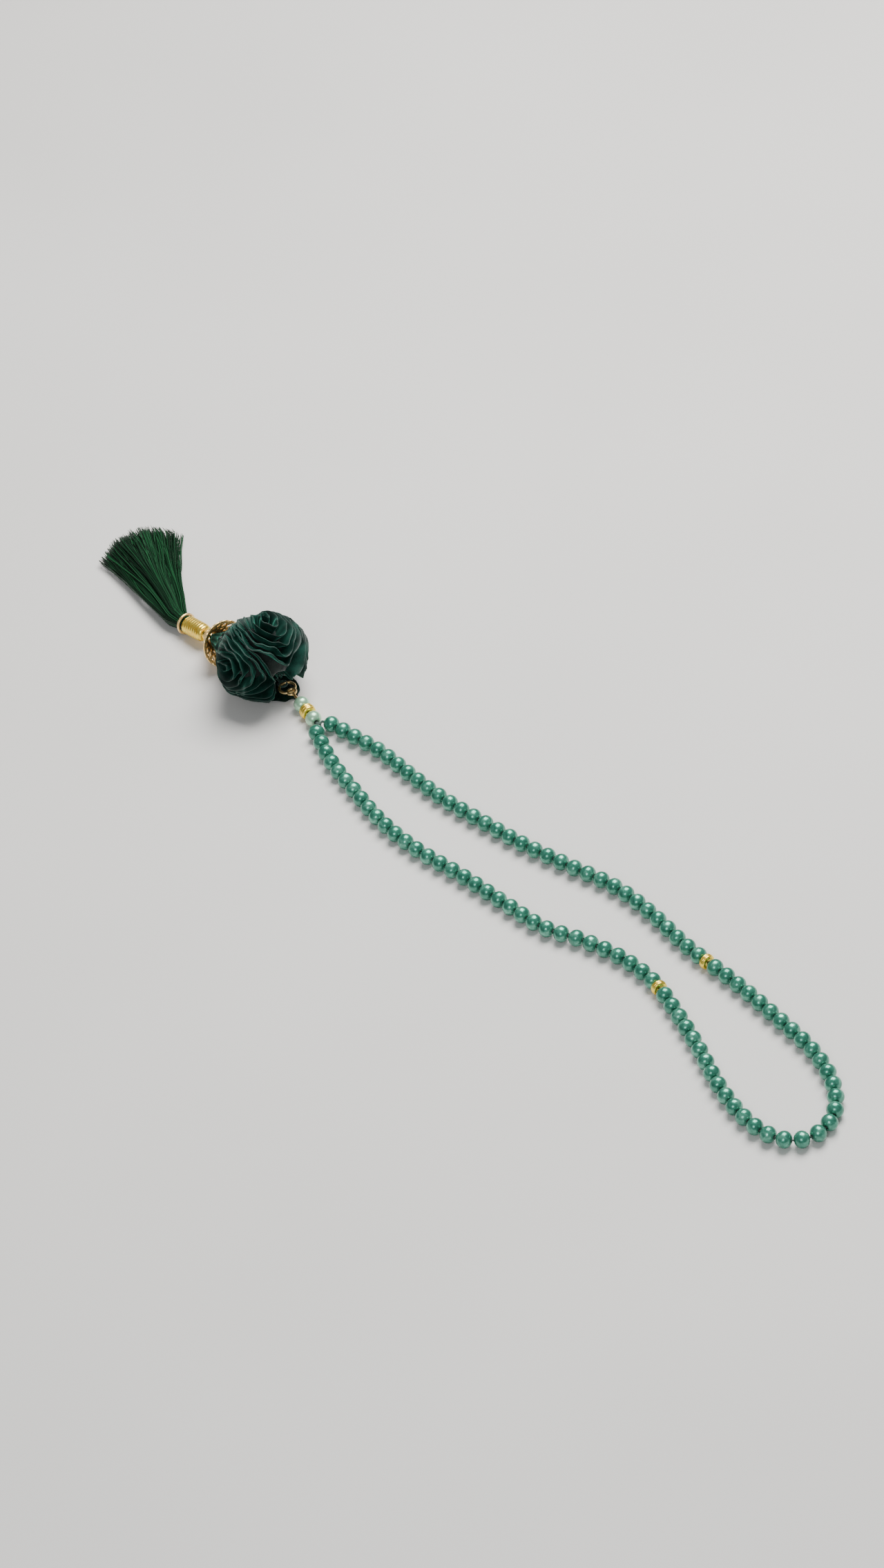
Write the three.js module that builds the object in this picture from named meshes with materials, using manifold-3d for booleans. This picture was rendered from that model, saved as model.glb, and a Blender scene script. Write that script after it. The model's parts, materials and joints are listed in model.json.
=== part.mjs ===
// A misbaha: 99 pearl beads threaded into a loop, with a head of two pearls and a gold disc,
// a ruffled fabric flower in a filigree cap, and a silk tassel. It lies flat, with its loop spread a little.
// Millimetres, +Z up. +X runs from the tassel to the far end of the loop. The origin is on the ground,
// under the middle of the whole piece.
import * as THREE from "three";
import { mergeVertices } from "three/addons/utils/BufferGeometryUtils.js";
import Module from "manifold-3d";

const wasm = await Module();
wasm.setup();

// ---- Driving dimensions ----
const BEAD_RADIUS = 3.0; // across the cord
const BEAD_HALF = 2.8; // half the bead's length along the cord
const BEADS_IN_SECTION = 33;
const SECTIONS = 3;
const BEADS_IN_LINK = 3; // neighbouring beads that share one node
const CORD_RADIUS = 0.45;
const CLEARANCE = 0.3; // between pieces that touch
const DIVIDER_RADIUS = 2.9;
const DIVIDER_LENGTH = 2.3;
const THREAD_BORE = 0.9; // hole through the pearls, disc and dividers
const DIVIDER_ROOM = DIVIDER_LENGTH + CLEARANCE; // extra cord between beads where a divider sits

const HEAD_START = new THREE.Vector3(-73.5, -7.2, BEAD_RADIUS); // middle of the pearl next to the strands
const HEAD_AXIS = new THREE.Vector3(-0.9908, 0.1356, 0).normalize();
const DISC_LENGTH = 3.4;
const HEAD_STEP = BEAD_HALF + CLEARANCE + DISC_LENGTH / 2; // pearl middle to disc middle
const KNOT_RADIUS = 1.0;

const WIRE_RADIUS = 0.45; // eye pin and jump ring
const EYE_RADIUS = 1.5;
const RING_RADIUS = 2.9;
const EYE_DISTANCE = 8.4; // from the upper pearl's middle to the eye's middle

const FLOWER_CENTRE = new THREE.Vector3(-102.8, -8.5, 15.6);
const FLOWER_RADII = new THREE.Vector3(18.5, 17.4, 16.8);
const FLOWER_TAPER = 0.17; // how much the shoulders towards the cap are drawn in
const FLOWER_TAIL = 0.2; // how far the gathered end reaches towards the cap
const ROSETTES = 4; // sewn round the thread, each a quarter turn
const ROSETTE_GAP = 0.5;
const ROSETTE_TURN = (27 * Math.PI) / 180; // from +Y up to the first seam between two rosettes
const SEAM_AXIS_HEIGHT = 11.0; // where the four seams meet, about the height of the thread
const CORE_RADIUS = 3.2;
const HOLLOW_AXIS = new THREE.Vector3(0.693, -0.323, 0.643); // the way the hollow at the jump ring opens

const CAP_RIM = new THREE.Vector3(-124.2, -11.3, 9.4);
const CAP_NECK = new THREE.Vector3(-135.8, -11.5, 6.1);
const CAP_RIM_RADIUS = 8.8;
const CAP_NECK_RADIUS = 2.2;
const CAP_WALL = 0.7;

const TASSEL_START = new THREE.Vector3(-137.3, -11.6, 5.8); // outer face of the barrel's closed end
const TASSEL_AXIS = new THREE.Vector3(-0.985, -0.118, -0.125).normalize();
const BARREL_LENGTH = 10.4;
const BARREL_RADIUS = 3.5;
const BARREL_WALL = 0.6;
const SILK_START = 4.6; // where the silk begins, inside the barrel
const SILK_NECK_RADIUS = 2.1;
const TASSEL_RING_RADIUS = 3.65;
const TASSEL_RING_TUBE = 0.52;
const TASSEL_RING_AT = 12.1; // from the barrel's closed end

// Middle of the cord from the first bead of one strand, round the loop, to the last bead of the other.
const ROUTE = [
  [-66.5, -4.0],
  [-54.0, -1.5],
  [-41.0, 0.8],
  [-23.0, 1.6],
  [-5.0, 3.0],
  [15.0, 6.5],
  [34.0, 10.3],
  [53.0, 15.5],
  [72.0, 20.8],
  [91.0, 22.2],
  [113.0, 21.5],
  [137.0, 23.0],
  [160.0, 23.2],
  [180.0, 22.6],
  [196.0, 18.6],
  [207.0, 11.2],
  [211.4, 2.0],
  [209.0, -6.5],
  [201.0, -11.6],
  [189.0, -12.8],
  [173.0, -10.4],
  [153.0, -4.5],
  [134.0, 0.2],
  [118.0, 3.0],
  [102.0, 1.8],
  [86.0, -2.8],
  [71.0, -9.2],
  [51.0, -12.2],
  [31.0, -15.0],
  [9.0, -19.0],
  [-11.0, -20.0],
  [-31.0, -18.0],
  [-50.0, -15.4],
  [-66.5, -10.6],
];

// The silk as it lies: one edge (x, y), the other edge (x, y), height of the middle, half thickness, and how
// far the middle runs ahead of the line between the edges.
const SILK_SECTIONS = [
  [-150.0, -15.9, -149.8, -10.7, 4.1, 2.6, 0],
  [-156.2, -17.8, -155.0, -8.9, 3.9, 3.6, 0.4],
  [-164.5, -17.6, -162.9, -3.9, 3.7, 3.5, 1.0],
  [-174.8, -17.0, -172.0, 0.6, 3.3, 3.1, 2.0],
  [-186.0, -16.2, -181.0, 5.2, 2.9, 2.7, 3.8],
  [-197.0, -16.0, -189.6, 10.6, 2.4, 2.2, 6.0],
  [-205.2, -16.4, -195.6, 15.4, 2.0, 1.8, 8.4],
  [-208.0, -15.8, -198.2, 15.8, 1.6, 1.2, 10.3],
];

// ---- Materials ----
const pearlGreen = { color: 0x2f7d68, roughness: 0.22, metalness: 0.15 };
const pearlPale = { color: 0xa9cdb4, roughness: 0.25, metalness: 0.15 };
const gold = { color: 0xd9a441, roughness: 0.25, metalness: 1.0 };
const cordGreen = { color: 0x1c4a3c, roughness: 0.8, metalness: 0.0 };
const fabricGreen = { color: 0x0c2a20, roughness: 0.85, metalness: 0.0 };
const silkGreen = { color: 0x0d3a22, roughness: 0.55, metalness: 0.0 };

// ---- Helpers ----
const X_AXIS = new THREE.Vector3(1, 0, 0);
const Y_AXIS = new THREE.Vector3(0, 1, 0);
const Z_AXIS = new THREE.Vector3(0, 0, 1);
const root = new THREE.Group();

function solidOf(geometry) {
  const bare = geometry.clone();
  bare.deleteAttribute("normal");
  bare.deleteAttribute("uv");
  const merged = mergeVertices(bare, 1e-4);
  return new wasm.Manifold(
    new wasm.Mesh({
      numProp: 3,
      vertProperties: new Float32Array(merged.attributes.position.array),
      triVerts: new Uint32Array(merged.index.array),
    }),
  );
}

function geometryOf(solid) {
  const mesh = solid.getMesh();
  const geometry = new THREE.BufferGeometry();
  geometry.setAttribute("position", new THREE.BufferAttribute(mesh.vertProperties, 3));
  geometry.setIndex(new THREE.BufferAttribute(mesh.triVerts, 1));
  geometry.computeVertexNormals();
  return geometry;
}

function joined(geometries) {
  return geometryOf(geometries.map(solidOf).reduce((whole, next) => whole.add(next)));
}

function cutBy(geometry, cutters) {
  return geometryOf(cutters.map(solidOf).reduce((left, cutter) => left.subtract(cutter), solidOf(geometry)));
}

// A body of revolution about +X. Each profile point is [distance along X, radius].
function turned(profile, segments) {
  const points = profile.map(([along, radius]) => new THREE.Vector2(radius, along));
  return new THREE.LatheGeometry(points, segments).rotateZ(-Math.PI / 2);
}

function tube(points, radius, steps, sides) {
  const section = new THREE.Shape().absarc(0, 0, radius, 0, 2 * Math.PI);
  return new THREE.ExtrudeGeometry(section, {
    curveSegments: sides,
    steps,
    bevelEnabled: false,
    extrudePath: new THREE.CatmullRomCurve3(points, false, "catmullrom", 0.5),
  });
}

function addMesh(name, geometry, finish, parent = root) {
  const mesh = new THREE.Mesh(geometry, new THREE.MeshStandardMaterial(finish));
  mesh.name = name;
  parent.add(mesh);
  return mesh;
}

// A group at a point, whose own +X looks along a direction.
function placed(position, direction) {
  const group = new THREE.Group();
  group.position.copy(position);
  group.quaternion.setFromUnitVectors(X_AXIS, direction.clone().normalize());
  root.add(group);
  return group;
}

function alongLine(start, direction, distance) {
  return start.clone().addScaledVector(direction, distance);
}

// ---- Beads ----
// The closed outline of a bead with a hole along its axis.
function boredProfile(radius, half, bore, rings) {
  const profile = [];
  const edge = Math.asin(bore / radius);
  for (let k = 0; k <= rings; k++) {
    const angle = edge + ((Math.PI - 2 * edge) * k) / rings;
    profile.push([-half * Math.cos(angle), radius * Math.sin(angle)]);
  }
  profile.push(profile[0]);
  return profile;
}

const cordLine = new THREE.CatmullRomCurve3(
  ROUTE.map(([x, y]) => new THREE.Vector3(x, y, BEAD_RADIUS)),
  false,
  "catmullrom",
  0.5,
);
cordLine.arcLengthDivisions = 3000;

const BEAD_COUNT = BEADS_IN_SECTION * SECTIONS;
const routeLength = cordLine.getLength();
const pitch = (routeLength - (SECTIONS - 1) * DIVIDER_ROOM) / (BEAD_COUNT - 1);

function distanceOfBead(index) {
  return index * pitch + Math.floor(index / BEADS_IN_SECTION) * DIVIDER_ROOM;
}

function onCord(distance) {
  const share = THREE.MathUtils.clamp(distance / routeLength, 0, 1);
  return { point: cordLine.getPointAt(share), tangent: cordLine.getTangentAt(share) };
}

// A closed body through a row of rings, each with a centre, an axis and a radius.
function bodyThrough(rings, sides) {
  const steps = rings.length - 1;
  const body = new THREE.CylinderGeometry(1, 1, steps, sides, steps);
  const position = body.attributes.position;
  for (let i = 0; i < position.count; i++) {
    const { centre, axis, radius } = rings[Math.round(steps / 2 - position.getY(i))];
    const sideways = new THREE.Vector3().crossVectors(axis, Z_AXIS).normalize();
    const place = centre.clone().addScaledVector(sideways, -position.getX(i) * radius);
    place.addScaledVector(Z_AXIS, position.getZ(i) * radius);
    position.setXYZ(i, place.x, place.y, place.z);
  }
  return body;
}

// Three beads and the cord between them. Each tail is extra cord, before the first bead or after the last.
function beadLink(firstBead, tailBefore, tailAfter) {
  const middle = onCord(distanceOfBead(firstBead + 1)).point;
  const rings = [];
  for (let k = 0; k < BEADS_IN_LINK; k++) {
    const { point, tangent } = onCord(distanceOfBead(firstBead + k));
    const ring = (along, radius) => ({ centre: alongLine(point, tangent, along).sub(middle), axis: tangent, radius });
    if (k === 0 && tailBefore) rings.push(ring(-tailBefore, CORD_RADIUS));
    for (const [along, radius] of boredProfile(BEAD_RADIUS, BEAD_HALF, CORD_RADIUS, 4).slice(0, -1)) {
      rings.push(ring(along, radius));
    }
    if (k === BEADS_IN_LINK - 1 && tailAfter) rings.push(ring(tailAfter, CORD_RADIUS));
  }
  return { geometry: bodyThrough(rings, 8), middle };
}

const linkCount = BEAD_COUNT / BEADS_IN_LINK;
const linksInSection = BEADS_IN_SECTION / BEADS_IN_LINK;
const dividerTail = BEAD_HALF + CLEARANCE + DIVIDER_LENGTH; // from a bead's middle to just past the divider
for (let link = 0; link < linkCount; link++) {
  // The cord through each divider belongs to the link on the head's side of it.
  const tailAfter = link === linksInSection - 1 ? dividerTail : 0;
  const tailBefore = link === 2 * linksInSection ? dividerTail : 0;
  const { geometry, middle } = beadLink(link * BEADS_IN_LINK, tailBefore, tailAfter);
  const name = "beads_" + String(link + 1).padStart(2, "0");
  addMesh(name, geometry, pearlGreen).position.copy(middle);
}

// ---- Dividers ----
function dividerGeometry() {
  const half = DIVIDER_LENGTH / 2;
  const profile = [
    [-half, THREAD_BORE],
    [-half, DIVIDER_RADIUS * 0.72],
    [-half * 0.45, DIVIDER_RADIUS],
    [half * 0.45, DIVIDER_RADIUS],
    [half, DIVIDER_RADIUS * 0.72],
    [half, THREAD_BORE],
    [-half, THREAD_BORE],
  ];
  return turned(profile, 14);
}

for (let section = 1; section < SECTIONS; section++) {
  const before = distanceOfBead(section * BEADS_IN_SECTION - 1);
  const after = distanceOfBead(section * BEADS_IN_SECTION);
  const { point, tangent } = onCord((before + after) / 2);
  addMesh("divider_" + section, dividerGeometry(), gold, placed(point, tangent));
}

// ---- Head: two pearls and a disc on the doubled thread ----
const lowerPearl = HEAD_START;
const discMiddle = alongLine(HEAD_START, HEAD_AXIS, HEAD_STEP);
const upperPearl = alongLine(HEAD_START, HEAD_AXIS, 2 * HEAD_STEP);
const headPearl = () => turned(boredProfile(BEAD_RADIUS, BEAD_HALF, THREAD_BORE, 6), 12);
addMesh("head_pearl_lower", headPearl(), pearlPale, placed(lowerPearl, HEAD_AXIS));
addMesh("head_pearl_upper", headPearl(), pearlPale, placed(upperPearl, HEAD_AXIS));

const discProfile = [
  [-DISC_LENGTH / 2, THREAD_BORE],
  [-DISC_LENGTH / 2, 2.1],
  [-DISC_LENGTH / 4, 2.95],
  [DISC_LENGTH / 4, 2.95],
  [DISC_LENGTH / 2, 2.1],
  [DISC_LENGTH / 2, THREAD_BORE],
  [-DISC_LENGTH / 2, THREAD_BORE],
];
addMesh("head_disc", turned(discProfile, 16), gold, placed(discMiddle, HEAD_AXIS));

const knotMiddle = alongLine(HEAD_START, HEAD_AXIS, -BEAD_HALF - CLEARANCE - KNOT_RADIUS);
const threadEnd = alongLine(upperPearl, HEAD_AXIS, -0.2);
addMesh(
  "head_thread",
  joined([
    tube([knotMiddle, threadEnd], CORD_RADIUS, 1, 6),
    new THREE.SphereGeometry(KNOT_RADIUS, 8, 6).translate(...knotMiddle),
  ]),
  cordGreen,
);

// ---- Eye pin and jump ring ----
const eyeMiddle = alongLine(upperPearl, HEAD_AXIS, EYE_DISTANCE);
const pinStart = alongLine(upperPearl, HEAD_AXIS, 0.4);
const pinEnd = alongLine(eyeMiddle, HEAD_AXIS, -EYE_RADIUS);
const eye = new THREE.TorusGeometry(EYE_RADIUS, WIRE_RADIUS, 6, 14).rotateX(Math.PI / 2);
addMesh(
  "eye_pin",
  joined([tube([pinStart, pinEnd], WIRE_RADIUS, 1, 8), eye.translate(...eyeMiddle)]),
  gold,
);

const ringMiddle = eyeMiddle.clone().add(new THREE.Vector3(-RING_RADIUS, 0, 0));
addMesh("jump_ring", new THREE.TorusGeometry(RING_RADIUS, WIRE_RADIUS, 6, 20), gold).position.copy(ringMiddle);

// ---- Flower ----
const loopMiddle = ringMiddle.clone().add(new THREE.Vector3(-RING_RADIUS, 0, 0));
const capAxis = CAP_NECK.clone().sub(CAP_RIM).normalize();
const threadRoute = [
  loopMiddle.clone().add(new THREE.Vector3(-EYE_RADIUS, 0, 0)),
  new THREE.Vector3(-101.4, -5.6, 4.6),
  new THREE.Vector3(-105.0, -7.6, 8.6),
  new THREE.Vector3(-111.0, -9.6, 10.8),
  new THREE.Vector3(-117.5, -10.9, 10.8),
  CAP_RIM.clone(),
  CAP_NECK.clone(),
  alongLine(TASSEL_START, TASSEL_AXIS, 2.6),
];
const threadLoop = new THREE.TorusGeometry(EYE_RADIUS, CORD_RADIUS, 6, 14).rotateX(Math.PI / 2);
const threadKnot = threadRoute[threadRoute.length - 1];
addMesh(
  "flower_thread",
  joined([
    tube(threadRoute, CORD_RADIUS, 24, 6),
    threadLoop.translate(...loopMiddle),
    new THREE.SphereGeometry(1.6, 8, 6).translate(...threadKnot),
  ]),
  cordGreen,
);

// The core is a felt tube on the thread, and four gathered rosettes are sewn round it.
const threadCurve = new THREE.CatmullRomCurve3(threadRoute, false, "catmullrom", 0.5);
function threadStretch(from, to) {
  const points = [];
  for (let k = 0; k <= 8; k++) points.push(threadCurve.getPoint(from + ((to - from) * k) / 8));
  return points;
}
addMesh(
  "flower_core",
  cutBy(tube(threadStretch(0.28, 0.58), CORE_RADIUS, 6, 10), [tube(threadStretch(0.14, 0.72), THREAD_BORE, 14, 6)]),
  fabricGreen,
);

const pocket = new THREE.SphereGeometry(9.4, 20, 12).translate(-92.4, loopMiddle.y, 0);
const coreRoom = tube(threadStretch(0.04, 0.72), CORE_RADIUS + CLEARANCE, 14, 10);
const ground = new THREE.BoxGeometry(80, 80, 20).translate(FLOWER_CENTRE.x, FLOWER_CENTRE.y, -10);

const hollow = new THREE.CylinderGeometry(7.0, 4.6, 34, 16).translate(0, 17, 0);
hollow.applyQuaternion(new THREE.Quaternion().setFromUnitVectors(Y_AXIS, HOLLOW_AXIS.normalize()));
hollow.translate(...ringMiddle);

// The flower narrows towards the cap and ends in a gathered tail at the cap's mouth.
function flowerBall() {
  const ball = new THREE.SphereGeometry(1, 24, 16).rotateZ(Math.PI / 2);
  const tailWay = CAP_RIM.clone().sub(FLOWER_CENTRE).divide(FLOWER_RADII).normalize();
  const position = ball.attributes.position;
  for (let i = 0; i < position.count; i++) {
    const way = new THREE.Vector3().fromBufferAttribute(position, i);
    const back = Math.max(0, -way.x);
    const shoulder = 4 * back ** 2 * (1 - back ** 2);
    const tail = Math.max(0, way.dot(tailWay)) ** 10;
    way.multiplyScalar(1 - FLOWER_TAPER * shoulder + FLOWER_TAIL * tail);
    position.setXYZ(i, ...way);
  }
  ball.scale(FLOWER_RADII.x, FLOWER_RADII.y, FLOWER_RADII.z);
  return ball.translate(...FLOWER_CENTRE);
}

for (let rosette = 0; rosette < ROSETTES; rosette++) {
  const quarter = new THREE.BoxGeometry(60, 60, 60).translate(0, 30 + ROSETTE_GAP / 2, 30 + ROSETTE_GAP / 2);
  quarter.rotateX(ROSETTE_TURN + (rosette * 2 * Math.PI) / ROSETTES);
  quarter.translate(FLOWER_CENTRE.x, FLOWER_CENTRE.y, SEAM_AXIS_HEIGHT);
  const quarterBall = solidOf(flowerBall()).intersect(solidOf(quarter));
  const folds = cutBy(geometryOf(quarterBall), [pocket, hollow, coreRoom, ground]);
  addMesh("flower_rosette_" + (rosette + 1), folds, fabricGreen);
}

// ---- Filigree cap: a pierced bell, open towards the flower ----
function capWall(inset) {
  const length = CAP_RIM.distanceTo(CAP_NECK);
  const profile = [];
  for (let k = 0; k <= 4; k++) {
    const share = k / 4;
    const bell = Math.sin((share * Math.PI) / 2) ** 1.15;
    profile.push([length * share, CAP_RIM_RADIUS + (CAP_NECK_RADIUS - CAP_RIM_RADIUS) * bell - inset]);
  }
  return profile;
}

const capOutline = [...capWall(0), ...capWall(CAP_WALL).reverse()];
capOutline.push(capOutline[0]);
const capHoles = [];
for (const [row, share, radius] of [
  [0, 0.2, 1.35],
  [1, 0.5, 0.9],
]) {
  for (let k = 0; k < 8; k++) {
    const hole = new THREE.CylinderGeometry(radius, radius, 12, 6).translate(0, 7, 0);
    hole.rotateX(((k + row / 2) * Math.PI) / 4);
    hole.translate(CAP_RIM.distanceTo(CAP_NECK) * share, 0, 0);
    capHoles.push(hole);
  }
}
addMesh("filigree_cap", cutBy(turned(capOutline, 16), capHoles), gold, placed(CAP_RIM, capAxis));

// ---- Tassel ----
const tassel = placed(TASSEL_START, TASSEL_AXIS);
const barrelInside = BARREL_RADIUS - BARREL_WALL;
const barrelProfile = [
  [0, 1.3],
  [0, 2.2],
  [0.8, 3.0],
  [2.2, BARREL_RADIUS],
  [BARREL_LENGTH, BARREL_RADIUS],
  [BARREL_LENGTH, barrelInside],
  [2.4, barrelInside],
  [0.8, 2.1],
  [0.8, 1.3],
  [0, 1.3],
];
addMesh("tassel_barrel", turned(barrelProfile, 16), gold, tassel);

const ringProfile = [];
for (let k = 0; k < 6; k++) {
  const angle = (-2 * Math.PI * k) / 6;
  ringProfile.push([
    TASSEL_RING_AT + TASSEL_RING_TUBE * Math.cos(angle),
    TASSEL_RING_RADIUS + TASSEL_RING_TUBE * Math.sin(angle),
  ]);
}
ringProfile.push(ringProfile[0]);
addMesh("tassel_ring", turned(ringProfile, 18), gold, tassel);

const bindingProfile = [
  [5.6, 2.4],
  [5.6, 2.75],
  [8.2, 2.75],
  [8.2, 2.4],
  [5.6, 2.4],
];
addMesh("tassel_binding", turned(bindingProfile, 16), silkGreen, tassel);

// The silk: a round bundle in the barrel that fans out flat on the ground.
function silkGeometry() {
  const bundle = [SILK_START, BARREL_LENGTH].map((distance) => {
    const p = alongLine(TASSEL_START, TASSEL_AXIS, distance);
    return [p.x, p.y - SILK_NECK_RADIUS, p.x, p.y + SILK_NECK_RADIUS, p.z, SILK_NECK_RADIUS, 0];
  });
  const sections = [...bundle, ...SILK_SECTIONS];
  const steps = sections.length - 1;
  const silk = new THREE.CylinderGeometry(1, 1, steps, 16, steps);
  const position = silk.attributes.position;
  for (let i = 0; i < position.count; i++) {
    const section = sections[Math.round(steps / 2 - position.getY(i))];
    const [leftX, leftY, rightX, rightY, height, halfThickness, ahead] = section;
    const across = new THREE.Vector2(rightX - leftX, rightY - leftY).multiplyScalar(0.5);
    const forward = new THREE.Vector2(-across.y, across.x).setLength(ahead);
    const side = -position.getX(i);
    const x = (leftX + rightX) / 2 + across.x * side + forward.x * (1 - side ** 2);
    const y = (leftY + rightY) / 2 + across.y * side + forward.y * (1 - side ** 2);
    position.setXYZ(i, x, y, height + position.getZ(i) * halfThickness);
  }
  return silk;
}

addMesh("silk_tassel", silkGeometry(), silkGreen);

export default root;
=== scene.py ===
"""A misbaha of 99 pearl beads with a chiffon flower and a silk tassel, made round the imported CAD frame.

Everything is in metres, in the frame of the part: +X from the tassel to the far end of the bead loop, +Z up.
"""

import json
import math
import random

import bpy
import numpy as np
from mathutils import Matrix, Vector, noise


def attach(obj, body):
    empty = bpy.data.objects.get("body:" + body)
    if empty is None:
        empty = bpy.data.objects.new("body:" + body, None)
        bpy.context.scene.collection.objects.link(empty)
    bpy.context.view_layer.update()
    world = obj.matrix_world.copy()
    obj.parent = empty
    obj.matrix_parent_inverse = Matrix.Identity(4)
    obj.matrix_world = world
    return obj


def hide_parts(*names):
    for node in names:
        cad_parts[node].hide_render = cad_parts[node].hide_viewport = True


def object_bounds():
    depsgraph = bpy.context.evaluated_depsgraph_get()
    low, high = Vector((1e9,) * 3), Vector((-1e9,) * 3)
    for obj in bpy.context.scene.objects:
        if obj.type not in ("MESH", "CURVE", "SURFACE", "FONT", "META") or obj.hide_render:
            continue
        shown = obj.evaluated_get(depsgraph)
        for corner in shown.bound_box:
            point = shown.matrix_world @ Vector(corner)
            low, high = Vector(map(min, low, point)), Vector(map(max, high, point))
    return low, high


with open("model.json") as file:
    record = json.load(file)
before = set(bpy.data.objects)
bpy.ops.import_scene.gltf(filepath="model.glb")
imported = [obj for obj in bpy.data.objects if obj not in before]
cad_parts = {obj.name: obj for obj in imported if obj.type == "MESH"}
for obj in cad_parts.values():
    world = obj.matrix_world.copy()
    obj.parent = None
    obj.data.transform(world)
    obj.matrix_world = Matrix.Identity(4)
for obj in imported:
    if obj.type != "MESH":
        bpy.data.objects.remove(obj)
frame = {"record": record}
cad_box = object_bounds()

MM = 0.001
TURN = 2 * math.pi
X = Vector((1, 0, 0))
Y = Vector((0, 1, 0))
Z = Vector((0, 0, 1))

# ---- Driving dimensions ----
BEAD_RADIUS = 3.0 * MM
BEAD_HALF = 2.72 * MM  # short enough for neighbours to clear each other when the loop is opened wide
BEAD_HOLE = 0.75 * MM
BEADS_IN_SECTION = 33
SECTIONS = 3
BEADS_IN_NODE = 3
BEAD_COUNT = BEADS_IN_SECTION * SECTIONS
CORD_RADIUS = 0.45 * MM
DIVIDER_ROOM = 2.6 * MM  # extra cord between two beads where a divider sits
DIVIDER_RADIUS = 2.75 * MM
DIVIDER_HALF = 1.15 * MM
DISC_RADIUS = 2.8 * MM
DISC_HALF = 1.7 * MM
THREAD_BORE = 0.9 * MM  # hole through the dividers and the disc
HEAD_PEARL_HOLE = 0.95 * MM
RIGHT_PIVOT = Vector((-70.0, -5.6, 3.0)) * MM  # where each strand turns at the head
LEFT_PIVOT = Vector((-70.0, -8.9, 3.0)) * MM
HEAD_START = Vector((-73.5, -7.2, 3.0)) * MM
HEAD_AXIS = Vector((-0.9908, 0.1356, 0.0)).normalized()
HEAD_STEP = 4.8 * MM  # from a pearl's middle to the disc's middle
EYE_DISTANCE = 8.4 * MM  # from the upper pearl's middle to the eye's middle
EYE_RADIUS = 1.5 * MM
RING_RADIUS = 2.9 * MM
WIRE_RADIUS = 0.5 * MM
FLOWER_CENTRE = Vector((-102.8, -8.5, 15.6)) * MM
FLOWER_RADII = Vector((18.5, 17.4, 16.8)) * MM
CAP_RIM = Vector((-124.2, -11.3, 9.4)) * MM
CAP_NECK = Vector((-135.8, -11.5, 6.1)) * MM
CAP_RIM_RADIUS = 8.8 * MM
CAP_NECK_RADIUS = 2.2 * MM
TASSEL_START = Vector((-137.3, -11.6, 5.8)) * MM
TASSEL_AXIS = Vector((-0.985, -0.118, -0.125)).normalized()
BARREL_LENGTH = 10.4 * MM
TASSEL_RING_AT = 12.1 * MM  # from the barrel's closed end
TASSEL_RING_RADIUS = 3.65 * MM
TASSEL_RING_TUBE = 0.52 * MM

# Middle of the cord from the first bead of one strand, round the loop, to the last bead of the other.
ROUTE = [
    Vector((x * MM, y * MM, BEAD_RADIUS))
    for x, y in [
        (-66.5, -4.0),
        (-54.0, -1.5),
        (-41.0, 0.8),
        (-23.0, 1.6),
        (-5.0, 3.0),
        (15.0, 6.5),
        (34.0, 10.3),
        (53.0, 15.5),
        (72.0, 20.8),
        (91.0, 22.2),
        (113.0, 21.5),
        (137.0, 23.0),
        (160.0, 23.2),
        (180.0, 22.6),
        (196.0, 18.6),
        (207.0, 11.2),
        (211.4, 2.0),
        (209.0, -6.5),
        (201.0, -11.6),
        (189.0, -12.8),
        (173.0, -10.4),
        (153.0, -4.5),
        (134.0, 0.2),
        (118.0, 3.0),
        (102.0, 1.8),
        (86.0, -2.8),
        (71.0, -9.2),
        (51.0, -12.2),
        (31.0, -15.0),
        (9.0, -19.0),
        (-11.0, -20.0),
        (-31.0, -18.0),
        (-50.0, -15.4),
        (-66.5, -10.6),
    ]
]


# ---- Camera, light and floor ----
CAMERA_PLACE = Vector((1.2207, -0.6449, 1.2621))
CAMERA_UP = Vector((-0.4404, 0.4433, 0.7808))  # the photographer held the camera a little tilted
CAMERA_LENS = 122.0
SENSOR = 36.0


def make_camera():
    """Where the photographer stood, with a longer lens, looking at the middle of the piece."""
    low, high = cad_box
    forward = ((low + high) / 2 - CAMERA_PLACE).normalized()
    right = forward.cross(CAMERA_UP).normalized()
    camera = bpy.data.objects.new("camera", bpy.data.cameras.new("camera"))
    bpy.context.scene.collection.objects.link(camera)
    turn = Matrix((right, right.cross(forward), -forward)).transposed()
    camera.matrix_world = Matrix.Translation(CAMERA_PLACE) @ turn.to_4x4()
    camera.data.sensor_width = SENSOR
    camera.data.lens = CAMERA_LENS
    camera.data.clip_start = 0.01
    bpy.context.scene.camera = camera


def area_light(name, place, size, power, colour):
    data = bpy.data.lights.new(name, "AREA")
    data.shape = "SQUARE"
    data.size = size
    data.energy = power
    data.color = colour
    light = bpy.data.objects.new(name, data)
    light.location = place
    light.rotation_mode = "QUATERNION"
    light.rotation_quaternion = (-Vector(place)).to_track_quat("-Z", "Y")
    bpy.context.scene.collection.objects.link(light)


def make_lights():
    """A large window overhead and to the right, a soft fill from the viewer's side, and a pale room."""
    area_light("window_light", (-0.2, 0.5, 1.05), 0.8, 28.0, (1.0, 0.985, 0.96))
    area_light("fill_light", (0.9, -0.7, 0.9), 0.5, 6.0, (0.96, 0.98, 1.0))
    world = bpy.data.worlds.new("room")
    world.use_nodes = True
    background = world.node_tree.nodes["Background"]
    background.inputs["Color"].default_value = (0.86, 0.88, 0.9, 1.0)
    background.inputs["Strength"].default_value = 0.27
    bpy.context.scene.world = world


# ---- Material building blocks ----
SOCKETS = {"specular_ior_level": "Specular IOR Level"}  # the names that title case doesn't give


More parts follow.
